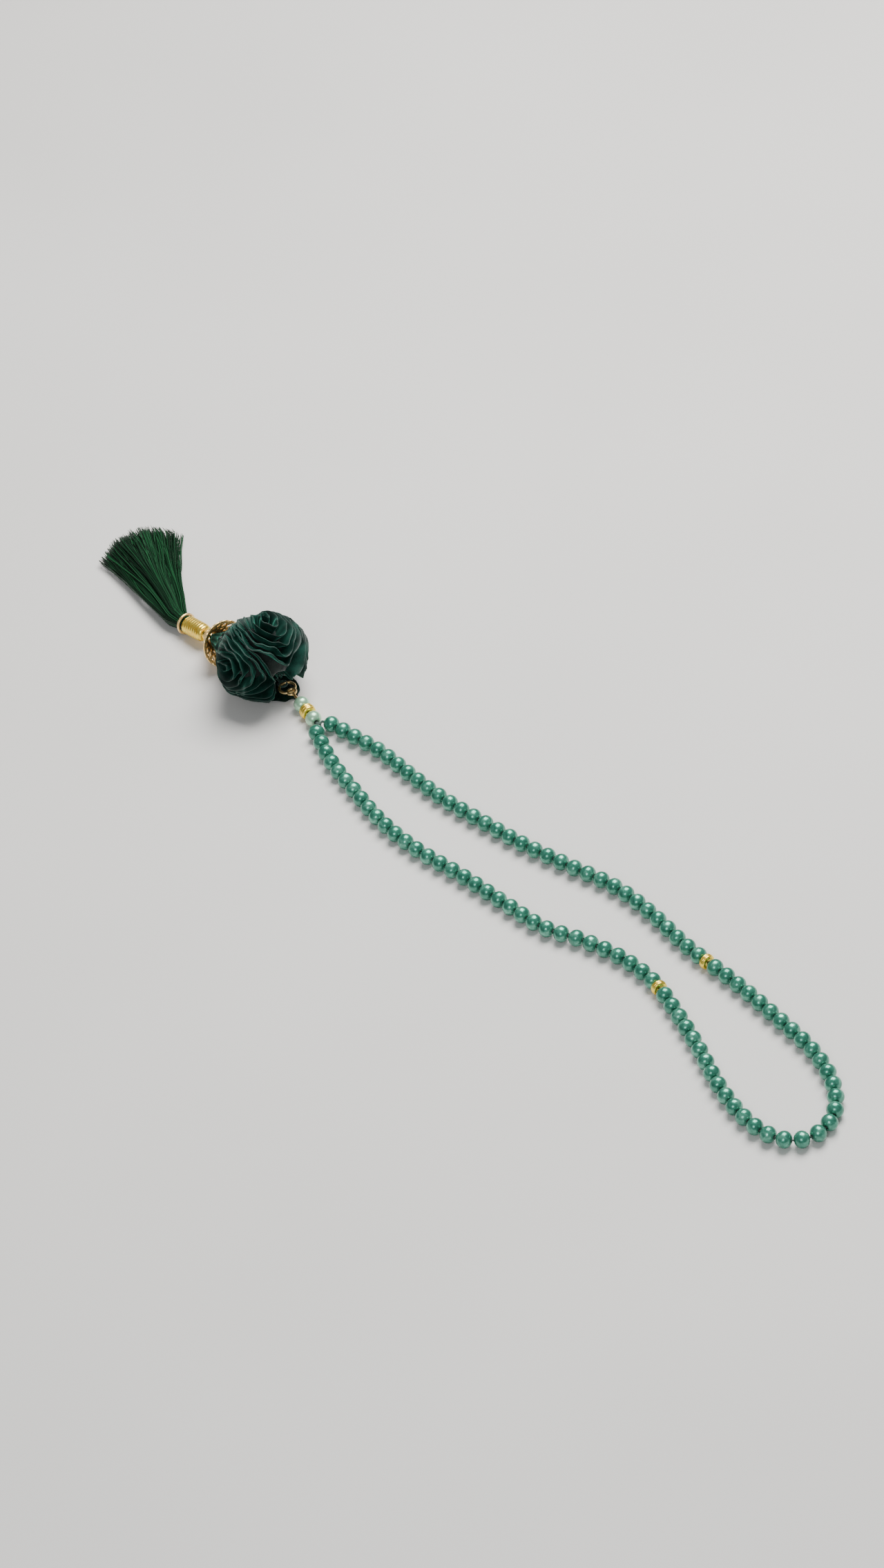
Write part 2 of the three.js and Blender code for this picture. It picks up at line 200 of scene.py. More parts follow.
class Shader:
    """A material with one Principled shader, built node by node."""

    def __init__(self, name, **sockets):
        self.material = bpy.data.materials.new(name)
        self.material.use_nodes = True
        self.tree = self.material.node_tree
        self.principled = self.tree.nodes["Principled BSDF"]
        for socket, value in sockets.items():
            label = SOCKETS.get(socket) or socket.replace("_", " ").title()
            self.principled.inputs[label].default_value = value

    def node(self, kind, **inputs):
        node = self.tree.nodes.new(kind)
        for socket, value in inputs.items():
            self.plug(value, node.inputs[socket.replace("_", " ")])
        return node

    def plug(self, value, socket):
        if isinstance(value, bpy.types.NodeSocket):
            self.tree.links.new(value, socket)
        else:
            socket.default_value = value

    def place(self):
        return self.node("ShaderNodeTexCoord").outputs["Object"]

    def noise(self, scale, detail, place=None, distortion=0.0):
        node = self.node("ShaderNodeTexNoise", Scale=scale, Detail=detail, Distortion=distortion)
        self.plug(place or self.place(), node.inputs["Vector"])
        return node.outputs["Fac"]

    def ramp(self, value, stops):
        node = self.node("ShaderNodeValToRGB")
        self.plug(value, node.inputs["Fac"])
        ramp = node.color_ramp
        while len(ramp.elements) < len(stops):
            ramp.elements.new(0.5)
        for element, (position, colour) in zip(ramp.elements, stops):
            element.position = position
            element.color = (*colour, 1.0)
        return node.outputs["Color"]

    def spread(self, value, low, high):
        """Maps 0..1 to low..high."""
        node = self.node("ShaderNodeMapRange")
        self.plug(value, node.inputs["Value"])
        node.inputs["To Min"].default_value = low
        node.inputs["To Max"].default_value = high
        return node.outputs["Result"]

    def stretch(self, scale):
        node = self.node("ShaderNodeMapping")
        self.plug(self.place(), node.inputs["Vector"])
        node.inputs["Scale"].default_value = scale
        return node.outputs["Vector"]

    def set(self, socket, value):
        self.plug(value, self.principled.inputs[socket])

    def bump(self, height, strength, distance):
        node = self.node("ShaderNodeBump", Strength=strength, Distance=distance, Height=height)
        self.tree.links.new(node.outputs["Normal"], self.principled.inputs["Normal"])


# ---- Materials ----
def pearl_material(name, deep, middle, pale):
    """Pearl lacquer over a resin bead: cloudy colour with fine mica that shines, under a clear coat."""
    shader = Shader(name, metallic=0.55, coat_weight=0.9, coat_roughness=0.16)
    shader.principled.inputs["Specular Tint"].default_value = (*pale, 1.0)
    cloud = shader.noise(420.0, 3.0, distortion=0.6)
    shader.set("Base Color", shader.ramp(cloud, [(0.3, deep), (0.55, middle), (0.8, pale)]))
    mica = shader.noise(9000.0, 2.0)
    shader.set("Roughness", shader.spread(mica, 0.24, 0.38))
    shader.bump(mica, 0.08, 0.00003)
    return shader.material


def gold_material(name, colour, dark, rough):
    """Bright gold plating, a little worn, with casting grain."""
    shader = Shader(name, metallic=0.92)
    wear = shader.noise(700.0, 4.0)
    shader.set("Base Color", shader.ramp(wear, [(0.35, dark), (0.6, colour)]))
    grain = shader.noise(3500.0, 3.0)
    shader.set("Roughness", shader.spread(grain, rough * 0.7, rough * 1.6))
    shader.bump(grain, 0.25, 0.00004)
    return shader.material


def cord_material():
    """Waxed nylon cord with a tight braid."""
    shader = Shader("waxed_cord", sheen_weight=0.3)
    waves = shader.node("ShaderNodeTexWave", Scale=1500.0, Distortion=1.5, Detail=2.0)
    shader.plug(shader.place(), waves.inputs["Vector"])
    waves.bands_direction = "DIAGONAL"
    braid = waves.outputs["Fac"]
    shades = [(0.2, (0.004, 0.022, 0.016)), (0.8, (0.02, 0.085, 0.06))]
    shader.set("Base Color", shader.ramp(braid, shades))
    shader.set("Roughness", shader.spread(braid, 0.75, 0.5))
    shader.bump(braid, 0.6, 0.00008)
    return shader.material


def chiffon_material():
    """Dark green satin chiffon: a fine weave, cloudy dye and a soft sheen on the folds."""
    shader = Shader("flower_chiffon", sheen_weight=0.5, sheen_roughness=0.3, specular_ior_level=0.4)
    shader.principled.inputs["Sheen Tint"].default_value = (0.15, 0.7, 0.5, 1.0)
    dye = shader.noise(160.0, 4.0)
    threads = shader.noise(5200.0, 2.0, place=shader.stretch((1.0, 0.25, 1.0)))
    mixed = shader.node("ShaderNodeMath")
    mixed.operation = "MULTIPLY_ADD"
    shader.plug(threads, mixed.inputs[0])
    mixed.inputs[1].default_value = 0.35
    shader.plug(dye, mixed.inputs[2])
    deep, middle, pale = (0.0004, 0.007, 0.005), (0.0012, 0.019, 0.0135), (0.007, 0.075, 0.052)
    shader.set("Base Color", shader.ramp(mixed.outputs[0], [(0.4, deep), (0.65, middle), (0.95, pale)]))
    shader.set("Roughness", shader.spread(dye, 0.4, 0.62))
    shader.bump(threads, 0.35, 0.00006)
    return shader.material


def felt_material():
    """Dark green felt, rough with fibres."""
    shader = Shader("core_felt", sheen_weight=0.4)
    fibres = shader.noise(2600.0, 5.0, distortion=2.0)
    shades = [(0.3, (0.0005, 0.004, 0.003)), (0.7, (0.002, 0.014, 0.01))]
    shader.set("Base Color", shader.ramp(fibres, shades))
    shader.set("Roughness", shader.spread(fibres, 0.8, 0.98))
    shader.bump(fibres, 0.7, 0.0001)
    return shader.material


def silk_material():
    """Silk floss: every strand has its own shade, kept in the mesh, and shines along its length."""
    shader = Shader("silk_floss", sheen_weight=0.08, sheen_roughness=0.3, specular_ior_level=0.4)
    shader.principled.inputs["Specular Tint"].default_value = (0.35, 1.0, 0.5, 1.0)
    shade = shader.node("ShaderNodeAttribute")
    shade.attribute_name = "shade"
    shades = [(0.0, (0.0003, 0.004, 0.0015)), (0.5, (0.001, 0.014, 0.005)), (1.0, (0.011, 0.085, 0.03))]
    shader.set("Base Color", shader.ramp(shade.outputs["Fac"], shades))
    streaks = shader.noise(1800.0, 3.0, place=shader.stretch((0.12, 1.0, 1.0)))
    shader.set("Roughness", shader.spread(streaks, 0.34, 0.58))
    shader.bump(streaks, 0.2, 0.00004)
    return shader.material


def floor_material():
    """A matt, almost even pale floor."""
    shader = Shader("pale_floor", roughness=0.75)
    patches = shader.noise(6.0, 2.0)
    shades = [(0.3, (0.72, 0.71, 0.69)), (0.7, (0.76, 0.75, 0.73))]
    shader.set("Base Color", shader.ramp(patches, shades))
    return shader.material


def make_floor():
    mesh = bpy.data.meshes.new("floor")
    reach = 6.0
    corners = [(-reach, -reach, 0), (reach, -reach, 0), (reach, reach, 0), (-reach, reach, 0)]
    mesh.from_pydata(corners, [], [(0, 1, 2, 3)])
    mesh.materials.append(floor_material())
    floor = bpy.data.objects.new("floor", mesh)
    floor.location.z = -0.05 * MM  # just clear of the pieces that lie on it
    bpy.context.scene.collection.objects.link(floor)


PEARL_GREEN = pearl_material("pearl_green", (0.022, 0.165, 0.11), (0.055, 0.28, 0.19), (0.2, 0.53, 0.39))
PEARL_PALE = pearl_material("pearl_pale", (0.3, 0.6, 0.38), (0.44, 0.72, 0.5), (0.7, 0.88, 0.68))
GOLD = gold_material("gold_plate", (1.0, 0.77, 0.14), (0.97, 0.6, 0.06), 0.26)
GOLD_WIRE = gold_material("gold_wire", (1.0, 0.77, 0.38), (0.98, 0.63, 0.24), 0.3)
CORD = cord_material()
CHIFFON = chiffon_material()
FELT = felt_material()
SILK = silk_material()


# ---- Mesh building blocks ----
def body_of_node(node):
    """The CAD body that a node belongs to."""
    bodies = frame["record"]["behaviour"]["bodies"]
    return next(body for body, nodes in bodies.items() if node in nodes)


def new_piece(name, mesh, material, node, stands_for=True, place=None):
    """A shown piece that rides with a CAD node's body and, unless told otherwise, stands for that node."""
    if not mesh.materials:
        mesh.materials.append(material)
    piece = bpy.data.objects.new(name, mesh)
    bpy.context.scene.collection.objects.link(piece)
    if place is not None:
        piece.matrix_world = place
    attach(piece, body_of_node(node))
    if stands_for:
        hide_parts(node)
    return piece


def mesh_of(name, points, faces):
    mesh = bpy.data.meshes.new(name)
    mesh.from_pydata([tuple(p) for p in points], [], [tuple(f) for f in faces])
    mesh.validate()
    mesh.update()
    mesh.shade_smooth()
    return mesh


def grid_faces(rows, columns, close_rows=False, close_columns=False, start=0):
    """Quads of a grid of points, whose rows and columns are closed on themselves if asked."""
    faces = []
    for r in range(rows if close_rows else rows - 1):
        for c in range(columns if close_columns else columns - 1):
            this_row = start + r * columns
            next_row = start + (r + 1) % rows * columns
            next_column = (c + 1) % columns
            faces.append((this_row + c, this_row + next_column, next_row + next_column, next_row + c))
    return faces


def end_caps(count, sides, start=0):
    """The two faces that close a tube made of a number of points, in rings of some number of sides."""
    last = start + count - sides
    return [tuple(reversed(range(start, start + sides))), tuple(range(last, last + sides))]


def turned_mesh(name, profile, segments):
    """A body of revolution about X. Each profile point is (distance along X, radius)."""
    points = []
    for along, radius in profile:
        for k in range(segments):
            angle = TURN * k / segments
            points.append((along, radius * math.cos(angle), radius * math.sin(angle)))
    return mesh_of(name, points, grid_faces(len(profile), segments, close_rows=True, close_columns=True))


def looking_along(place, direction):
    """A matrix whose own X looks along a direction, with its Y level."""
    x = Vector(direction).normalized()
    y = Z.cross(x).normalized()
    return Matrix.Translation(place) @ Matrix((x, y, x.cross(y))).transposed().to_4x4()


def tube_points(path, radii, sides, closed=False):
    """Rings of points round a path, turned as little as possible from one to the next."""
    count = len(path)
    points = []
    side = None
    for k, centre in enumerate(path):
        before = path[k - 1] if k or closed else centre
        after = path[(k + 1) % count] if k < count - 1 or closed else centre
        along = (after - before).normalized()
        if side is None:
            side = along.orthogonal().normalized()
        side = (side - along * side.dot(along)).normalized()
        other = along.cross(side)
        for s in range(sides):
            angle = TURN * s / sides
            points.append(centre + (side * math.cos(angle) + other * math.sin(angle)) * radii[k])
    return points


def tube_mesh(name, path, radius, sides, closed=False):
    """A tube along a path of points, with round ends if it isn't closed on itself."""
    path = [Vector(p) for p in path]
    radii = [radius] * len(path)
    if not closed:
        for _ in range(2):  # the end of the path is rounded, and the path is turned round for the other end
            end = path[-1]
            out = (end - path[-2]).normalized()
            for angle in (0.6, 1.15, 1.5):
                path.append(end + out * radius * math.sin(angle))
                radii.append(radius * math.cos(angle))
            path.reverse()
            radii.reverse()
    points = tube_points(path, radii, sides, closed)
    faces = grid_faces(len(path), sides, close_rows=closed, close_columns=True)
    if not closed:
        faces += end_caps(len(points), sides)
    return mesh_of(name, points, faces)


def ring_path(centre, radius, x, y, count, start=0.0, sweep=TURN):
    """Points of a circle, or of a part of one, in the plane of x and y."""
    steps = count if sweep == TURN else count - 1
    angles = [start + sweep * k / steps for k in range(count)]
    return [centre + (x * math.cos(a) + y * math.sin(a)) * radius for a in angles]


def smooth_path(points, steps):
    """A Catmull-Rom curve through a few points."""
    ends = [points[0] * 2 - points[1], *points, points[-1] * 2 - points[-2]]
    path = []
    for k in range(len(points) - 1):
        a, b, c, d = ends[k : k + 4]
        for s in range(steps):
            t = s / steps
            part = b * 2 + (c - a) * t + (a * 2 - b * 5 + c * 4 - d) * t**2 + (b * 3 - a - c * 3 + d) * t**3
            path.append(part / 2)
    path.append(points[-1].copy())
    return path


# ---- The cord's route ----
class Route:
    """The bead cord as a curve that is measured along its length."""

    def __init__(self, points, steps=60):
        self.path = np.array([tuple(p) for p in smooth_path(points, steps)])
        lengths = np.linalg.norm(np.diff(self.path, axis=0), axis=1)
        self.run = np.concatenate([[0.0], np.cumsum(lengths)])
        self.length = float(self.run[-1])

    def point(self, distance):
        return Vector([float(np.interp(distance, self.run, self.path[:, k])) for k in range(3)])

    def tangent(self, distance):
        step = 0.1 * MM
        return (self.point(distance + step) - self.point(distance - step)).normalized()


route = Route(ROUTE)
PITCH = (route.length - (SECTIONS - 1) * DIVIDER_ROOM) / (BEAD_COUNT - 1)


def bead_distance(index):
    return index * PITCH + (index // BEADS_IN_SECTION) * DIVIDER_ROOM


def node_of_bead(index):
    return f"beads_{index // BEADS_IN_NODE + 1:02d}"


# ---- Beads and their cord ----
BEAD_SEGMENTS = 36


def bead_profile(hole):
    """Round outside, with a small rounded lip at each end of the hole."""
    edge = math.asin(hole / BEAD_RADIUS) * 1.25
    steps = 18
    profile = []
    for k in range(steps + 1):
        angle = edge + (math.pi - 2 * edge) * k / steps
        profile.append((-BEAD_HALF * math.cos(angle), BEAD_RADIUS * math.sin(angle) ** 0.93))
    lip = 0.22 * MM
    end = profile[-1][0]
    inside = [(end - lip * 0.15, hole * 1.08), (end - lip, hole), (0.0, hole)]
    return profile + inside + [(-along, size) for along, size in reversed(inside[:-1])]


def make_beads():
    """The beads share one mesh, and chance turns each about the cord, so that neighbours look different."""
    rng = random.Random(99)
    mesh = turned_mesh("pearl_bead", bead_profile(BEAD_HOLE), BEAD_SEGMENTS)
    for index in range(BEAD_COUNT):
        distance = bead_distance(index)
        place = looking_along(route.point(distance), route.tangent(distance))
        place = place @ Matrix.Rotation(rng.uniform(0, TURN), 4, "X")
        first = index % BEADS_IN_NODE == 0
        name = f"bead_{index + 1:02d}"
        new_piece(name, mesh, PEARL_GREEN, node_of_bead(index), first, place)


def make_bead_cord():
    """The cord through each three beads, and on to the middle of the gap on either side."""
    for first in range(0, BEAD_COUNT, BEADS_IN_NODE):
        last = first + BEADS_IN_NODE - 1
        reach = PITCH / 2 - CORD_RADIUS * 0.9
        start = bead_distance(first) - reach
        end = bead_distance(last) + reach
        if last == BEADS_IN_SECTION - 1:
            end += DIVIDER_ROOM
        if first == 2 * BEADS_IN_SECTION:
            start -= DIVIDER_ROOM
        start, end = max(start, 0.0), min(end, route.length)
        steps = 16
        path = [route.point(start + (end - start) * k / steps) for k in range(steps + 1)]
        node = node_of_bead(first)
        mesh = tube_mesh("cord_" + node, path, CORD_RADIUS, 10)
        new_piece("cord_" + node, mesh, CORD, node, False)


# ---- Dividers ----
def divider_profile(radius, half):
    """A disc with three rounded beads round its rim."""
    bead = half * 0.34
    steps = 24
    profile = [(-half, THREAD_BORE)]
    for k in range(steps + 1):
        along = -half + 2 * half * k / steps
        wave = abs(math.cos(1.5 * math.pi * along / half)) ** 0.6
        crown = math.sqrt(max(0.0, 1 - (along / (half * 1.15)) ** 2))
        profile.append((along, radius * (0.62 + 0.32 * crown) + bead * wave * 0.55))
    profile.append((half, THREAD_BORE))
    return profile


def make_dividers():
    for section in range(1, SECTIONS):
        before = bead_distance(section * BEADS_IN_SECTION - 1)
        after = bead_distance(section * BEADS_IN_SECTION)
        middle = (before + after) / 2
        place = looking_along(route.point(middle), route.tangent(middle))
        name = f"divider_{section}"
        mesh = turned_mesh("gold_" + name, divider_profile(DIVIDER_RADIUS, DIVIDER_HALF), 40)
        new_piece("gold_" + name, mesh, GOLD, name, True, place)


# ---- Head ----
lower_pearl = HEAD_START
disc_middle = HEAD_START + HEAD_AXIS * HEAD_STEP
upper_pearl = HEAD_START + HEAD_AXIS * HEAD_STEP * 2
eye_middle = upper_pearl + HEAD_AXIS * EYE_DISTANCE
ring_middle = eye_middle + Vector((-RING_RADIUS, 0, 0))
loop_middle = ring_middle + Vector((-RING_RADIUS, 0, 0))
knot_middle = HEAD_START - HEAD_AXIS * 4.1 * MM


def make_head():
    for name, middle in (("head_pearl_lower", lower_pearl), ("head_pearl_upper", upper_pearl)):
        mesh = turned_mesh("pale_" + name, bead_profile(HEAD_PEARL_HOLE), BEAD_SEGMENTS)
        place = looking_along(middle, HEAD_AXIS)
        new_piece("pale_" + name, mesh, PEARL_PALE, name, True, place)
    mesh = turned_mesh("gold_head_disc", divider_profile(DISC_RADIUS, DISC_HALF), 40)
    place = looking_along(disc_middle, HEAD_AXIS)
    new_piece("gold_head_disc", mesh, GOLD, "head_disc", True, place)


def make_head_thread():
    """Both ends of the bead cord meet in a knot, and go on doubled through the pearls."""
    sideways = HEAD_AXIS.cross(Z) * 0.21 * MM
    for k, side in enumerate((1, -1)):
        path = [knot_middle + sideways * side, upper_pearl - HEAD_AXIS * 0.2 * MM + sideways * side]
        mesh = tube_mesh(f"doubled_thread_{k + 1}", path, 0.24 * MM, 10)
        new_piece(f"doubled_thread_{k + 1}", mesh, CORD, "head_thread", k == 0)
    wraps = []
    wrap_turns, turn_steps = 3, 24
    steps = wrap_turns * turn_steps
    for k in range(steps + 1):
        angle = TURN * k / turn_steps
        along = (k / steps - 0.5) * 1.3 * MM
        outward = (Z * math.cos(angle) + HEAD_AXIS.cross(Z) * math.sin(angle)) * 0.62 * MM
        wraps.append(knot_middle + HEAD_AXIS * along + outward)
    mesh = tube_mesh("head_knot", wraps, 0.34 * MM, 10)
    new_piece("head_knot", mesh, CORD, "head_thread", False)
    for name, bead, pivot in (("right", 0, RIGHT_PIVOT), ("left", BEAD_COUNT - 1, LEFT_PIVOT)):
        node = node_of_bead(bead)
        centre = route.point(bead_distance(bead))
        inner = knot_middle + (pivot - knot_middle).normalized() * 0.5 * MM
        mesh = tube_mesh(f"cord_end_{name}", [inner, pivot], CORD_RADIUS * 0.95, 10)
        new_piece(f"cord_end_{name}", mesh, CORD, "head_thread", False)
        mesh = tube_mesh(f"cord_start_{name}", [pivot, centre], CORD_RADIUS, 10)
        new_piece(f"cord_start_{name}", mesh, CORD, node, False)


def make_eye_and_ring():
    """The pin's wire is bent into the eye, and the jump ring is a wire circle with a fine cut."""
    start = 0.4 * MM  # along the axis, inside the upper pearl
    steps = 8
    bend = []
    for k in range(steps + 1):
        bend.append(upper_pearl + HEAD_AXIS * (start + (EYE_DISTANCE - EYE_RADIUS - start) * k / steps))
    across = Z.cross(HEAD_AXIS)
    bend += ring_path(eye_middle, EYE_RADIUS, -HEAD_AXIS, across, 30, 0.25, TURN * 0.93)
    mesh = tube_mesh("gold_eye_pin", bend, WIRE_RADIUS, 14)
    new_piece("gold_eye_pin", mesh, GOLD_WIRE, "eye_pin")
    cut = 0.05
    ring = ring_path(ring_middle, RING_RADIUS, X, Y, 60, 2.2 + cut / 2, TURN - cut)
    mesh = tube_mesh("gold_jump_ring", ring, WIRE_RADIUS, 14)
    new_piece("gold_jump_ring", mesh, GOLD_WIRE, "jump_ring")


# ---- Flower ----
cap_place = looking_along(CAP_RIM, CAP_NECK - CAP_RIM)
CAP_LENGTH = (CAP_NECK - CAP_RIM).length
THREAD_ROUTE = [
    loop_middle - X * EYE_RADIUS,
    Vector((-101.4, -5.6, 4.6)) * MM,
    Vector((-105.0, -7.6, 8.6)) * MM,
    Vector((-111.0, -9.6, 10.8)) * MM,
    Vector((-117.5, -10.9, 10.8)) * MM,
    CAP_RIM,
    CAP_NECK,
    TASSEL_START + TASSEL_AXIS * 2.6 * MM,
]


def make_flower_thread():
    """The thread from the jump ring, through the flower and the cap and into the barrel, in a felt core."""
    steps = 8
    path = smooth_path(THREAD_ROUTE, steps)
    mesh = tube_mesh("flower_cord", path, CORD_RADIUS, 10)
    new_piece("flower_cord", mesh, CORD, "flower_thread")
    loop = ring_path(loop_middle, EYE_RADIUS, X, Y, 40)
    mesh = tube_mesh("flower_cord_loop", loop, CORD_RADIUS, 10, closed=True)
    new_piece("flower_cord_loop", mesh, CORD, "flower_thread", False)
    core = path[2 * steps : 4 * steps + 1]  # from the third point of the route to the fifth
    mesh = tube_mesh("felt_core", core, 3.1 * MM, 24)
    new_piece("felt_core", mesh, FELT, "flower_core")


ROSETTES = 4
RIBBON_TURNS = 6.0  # of the spiral in one rosette
FIRST_ROSETTE = math.radians(72)  # from +Y up; the others follow a quarter turn apart
FLOWER_TAPER = 0.17  # how much the shoulders towards the cap are drawn in
FLOWER_TAIL = 0.2  # how far the gathered end reaches towards the cap
FLAT_AT = 0.4 * MM  # the flower's underside is pressed flat on the ground
POCKET_CENTRE = Vector((-92.4, loop_middle.y / MM, 0.0)) * MM  # the flower leaves room round the ring
POCKET_RADIUS = 9.6 * MM
HOLLOW_AXIS = Vector((0.693, -0.323, 0.643)).normalized()  # the way the hollow at the ring opens
HOLLOW_RADIUS = 4.6 * MM
HOLLOW_FLARE = 0.07


def scaled(way):
    """A way from the flower's middle, stretched to the flower's own size."""
    return Vector((way.x * FLOWER_RADII.x, way.y * FLOWER_RADII.y, way.z * FLOWER_RADII.z))


def ball_level(way):
    """How far out the flower goes along a way from its middle: it narrows to a gathered tail at the cap."""
    tail_way = CAP_RIM - FLOWER_CENTRE
    tail_way = Vector([tail_way[k] / FLOWER_RADII[k] for k in range(3)]).normalized()
    back = max(0.0, -way.x)
    return 1 - FLOWER_TAPER * 4 * back**2 * (1 - back**2) + FLOWER_TAIL * max(0.0, way.dot(tail_way)) ** 10


def outside_fabric(point):
    """Whether a point is in the hollow round the jump ring, or under the pressed underside."""
    along = (point - ring_middle).dot(HOLLOW_AXIS)
    off_axis = (point - ring_middle - HOLLOW_AXIS * along).length
    in_cone = along > 0 and off_axis < HOLLOW_RADIUS + along * HOLLOW_FLARE
    return in_cone or (point - POCKET_CENTRE).length < POCKET_RADIUS or point.z < FLAT_AT


def room(way):
    """The level at which a way from the flower's middle leaves the fabric."""
    limit = ball_level(way)
    inside, outside = 0.3, None
    while outside is None and inside < limit:
        step = min(inside + 0.03, limit)
        if outside_fabric(FLOWER_CENTRE + scaled(way) * step):
            outside = step
        elif step == limit:
            return limit
        else:
            inside = step
    for _ in range(5):
        middle = (inside + outside) / 2
        if outside_fabric(FLOWER_CENTRE + scaled(way) * middle):
            outside = middle
        else:
            inside = middle
    return inside


def soft_room(way):
    """The room along a way, evened out with its surroundings so that folds dip into the hollow gently."""
    side = way.orthogonal().normalized()
    other = way.cross(side)
    ways = [way]
    for angle in (0, 1.57, 3.14, 4.71):
        ways.append((way + (side * math.cos(angle) + other * math.sin(angle)) * 0.09).normalized())
    return min(room(way) + 0.02, sum(room(w) for w in ways) / len(ways))


def ribbon_way(number, turn):
    """The way from the flower's middle to a ribbon at a turn of its spiral, and its share of the way out."""
    middle = FIRST_ROSETTE + number * TURN / ROSETTES
    share = (turn + 0.2) / (RIBBON_TURNS + 0.2)
    angle = turn * TURN
    swirl = 1 + 0.1 * math.sin(2 * angle + number) + 0.06 * math.sin(5 * angle + 2 * number)
    round_axis = middle + math.radians(47) * share * math.cos(angle) * swirl
    along = math.radians(80) * share * math.sin(angle)
    along += math.radians(5) * math.sin(2.1 * number) * (1 - share)
    reach = math.cos(along)
    return Vector((math.sin(along), reach * math.cos(round_axis), reach * math.sin(round_axis))), share


def make_rosette(number):
    """One long ribbon, folded double, wound in a spiral from the rosette's middle and gathered in waves."""
    rng = random.Random(40 + number)
    offset = Vector((rng.uniform(0, 50), rng.uniform(0, 50), rng.uniform(0, 50)))
    middle_way = ribbon_way(number, 0)[0]
    steps = int(RIBBON_TURNS * 90)
    across = 13  # points over the fold, from one sewn edge to the other
    points = []
    for k in range(steps + 1):
        turn = RIBBON_TURNS * k / steps
        way, share = ribbon_way(number, turn)
        outward = way - middle_way * way.dot(middle_way)
        outward = (outward - way * outward.dot(way)).normalized()
        spot = scaled(way) / MM
        wave = 2.0 * noise.noise(spot * 0.13 + offset) + 0.9 * noise.noise(spot * 0.3 + offset * 2)
        own = noise.noise(Vector((turn * 8.0, number * 7.0, 0.5)))
        crest = soft_room(way) * (1.02 + 0.06 * noise.noise(spot * 0.15 + offset * 3)) - 0.04 * abs(own)
        root = max(0.2, crest - 0.4)
        half = (0.55 + 0.22 * noise.noise(Vector((turn * 5.0, number * 3.0, 8.5)))) * MM
        for v in range(across):
            over = v / (across - 1)
            arch = math.sin(math.pi * over) ** 0.4
            spread = math.cos(math.pi * over) * (0.3 + 0.7 * arch)
            bend = (wave + 0.6 * own) * arch**1.3 + share * 1.0 * arch**2
            point = FLOWER_CENTRE + scaled(way) * (root + (crest - root) * arch)
            point += outward * (half * spread + bend * MM)
            point.z = max(point.z, FLAT_AT)
            points.append(point)
    name = f"chiffon_rosette_{number + 1}"
    mesh = mesh_of(name, points, grid_faces(steps + 1, across))
    return new_piece(name, mesh, CHIFFON, f"flower_rosette_{number + 1}")


def make_stuffed_base():
    """A stuffed ball on the thread, which the ribbons are sewn to."""
    rings, sides = 36, 56
    points = []
    for k in range(rings):
        tilt = math.pi * (k + 0.5) / rings
        for s in range(sides):
            angle = TURN * s / sides
            reach = math.sin(tilt)
            way = Vector((math.cos(tilt), reach * math.cos(angle), reach * math.sin(angle)))
            level = min(0.68 * ball_level(way), room(way) - 0.1)
            lump = 0.02 * noise.noise(scaled(way) / MM * 0.3)
            points.append(FLOWER_CENTRE + scaled(way) * (level + lump))
    faces = grid_faces(rings, sides, close_columns=True) + end_caps(len(points), sides)
    mesh = mesh_of("stuffed_base", points, faces)
    base = new_piece("stuffed_base", mesh, FELT, "flower_core", False)


def make_gathered_tail():
    """The ribbons' gathered ends, pleated round the thread and drawn into the cap."""
    sides, pleats = 96, 12
    points = []
    # share of the cap's length from its rim, and radius in mm
    profile = [(-0.45, 6.6), (-0.3, 5.6), (-0.12, 4.6), (0.1, 3.8), (0.4, 2.8), (0.7, 1.5)]
    for share, radius in profile:
        for k in range(sides):
            angle = TURN * k / sides
            size = radius * (1 + 0.07 * math.cos(pleats * angle)) * MM
            points.append(Vector((CAP_LENGTH * share, size * math.cos(angle), size * math.sin(angle))))
    faces = grid_faces(len(profile), sides, close_columns=True) + end_caps(len(points), sides)
    mesh = mesh_of("gathered_tail", points, faces)
    new_piece("gathered_tail", mesh, CHIFFON, "flower_core", False, cap_place)


def make_under_petal_and_shade():
    """The last fold of the lowest ribbon, lying on the ground under the jump ring, and also a dark sheet put
    there as painted shade, for the flower's shadow on the floor under the ring.
    """
    across, steps = 25, 21
    outward = Vector((1.0, 0.16, 0.0)).normalized()
    side = Vector((-outward.y, outward.x, 0.0))
    start = Vector((-104.0, -6.6, 0.0)) * MM
    points = []
    for k in range(steps):
        share = k / (steps - 1)
        for v in range(across):
            turn = -1 + 2 * v / (across - 1)
            half = (4.5 + 2.2 * math.sin(share * 2.2)) * MM
            length = (14.2 - 5.6 * turn**2 + 0.3 * math.cos(turn * 9)) * MM
            height = 0.62 + 0.26 * math.cos(turn * 11 + share * 3) - 0.12 * share
            points.append(start + outward * length * share + side * half * turn + Z * height * MM)
    # Dark chiffon under the ring: partly the ribbon's real fold, partly painted shade standing in for the
    # shadow on the floor there.
    mesh = mesh_of("chiffon_under_petal_and_shade", points, grid_faces(steps, across))
    under_fold_and_shade = new_piece("chiffon_under_petal_and_shade", mesh, CHIFFON, "flower_rosette_3", False)


def make_flower():
    make_stuffed_base()
    make_gathered_tail()
    make_under_petal_and_shade()
    for number in range(ROSETTES):
        rosette = make_rosette(number)


# ---- Filigree cap ----
def cap_point(share, angle, outward=0.0):
    """A point of the bell's surface, in the cap's own frame with X from rim to neck."""
    bell = math.sin(max(share, 0.0) * math.pi / 2) ** 1.15
    radius = CAP_RIM_RADIUS + (CAP_NECK_RADIUS - CAP_RIM_RADIUS) * bell + outward
    return Vector((CAP_LENGTH * share, radius * math.cos(angle), radius * math.sin(angle)))


def add_tube(points, faces, path, radius, closed=False):
    """Adds a tube to the points and faces of a mesh in the making."""
    sides = 8
    start = len(points)
    points += tube_points(path, [radius] * len(path), sides, closed)
    faces += grid_faces(len(path), sides, close_rows=closed, close_columns=True, start=start)
    if not closed:
        faces += end_caps(len(points) - start, sides, start)


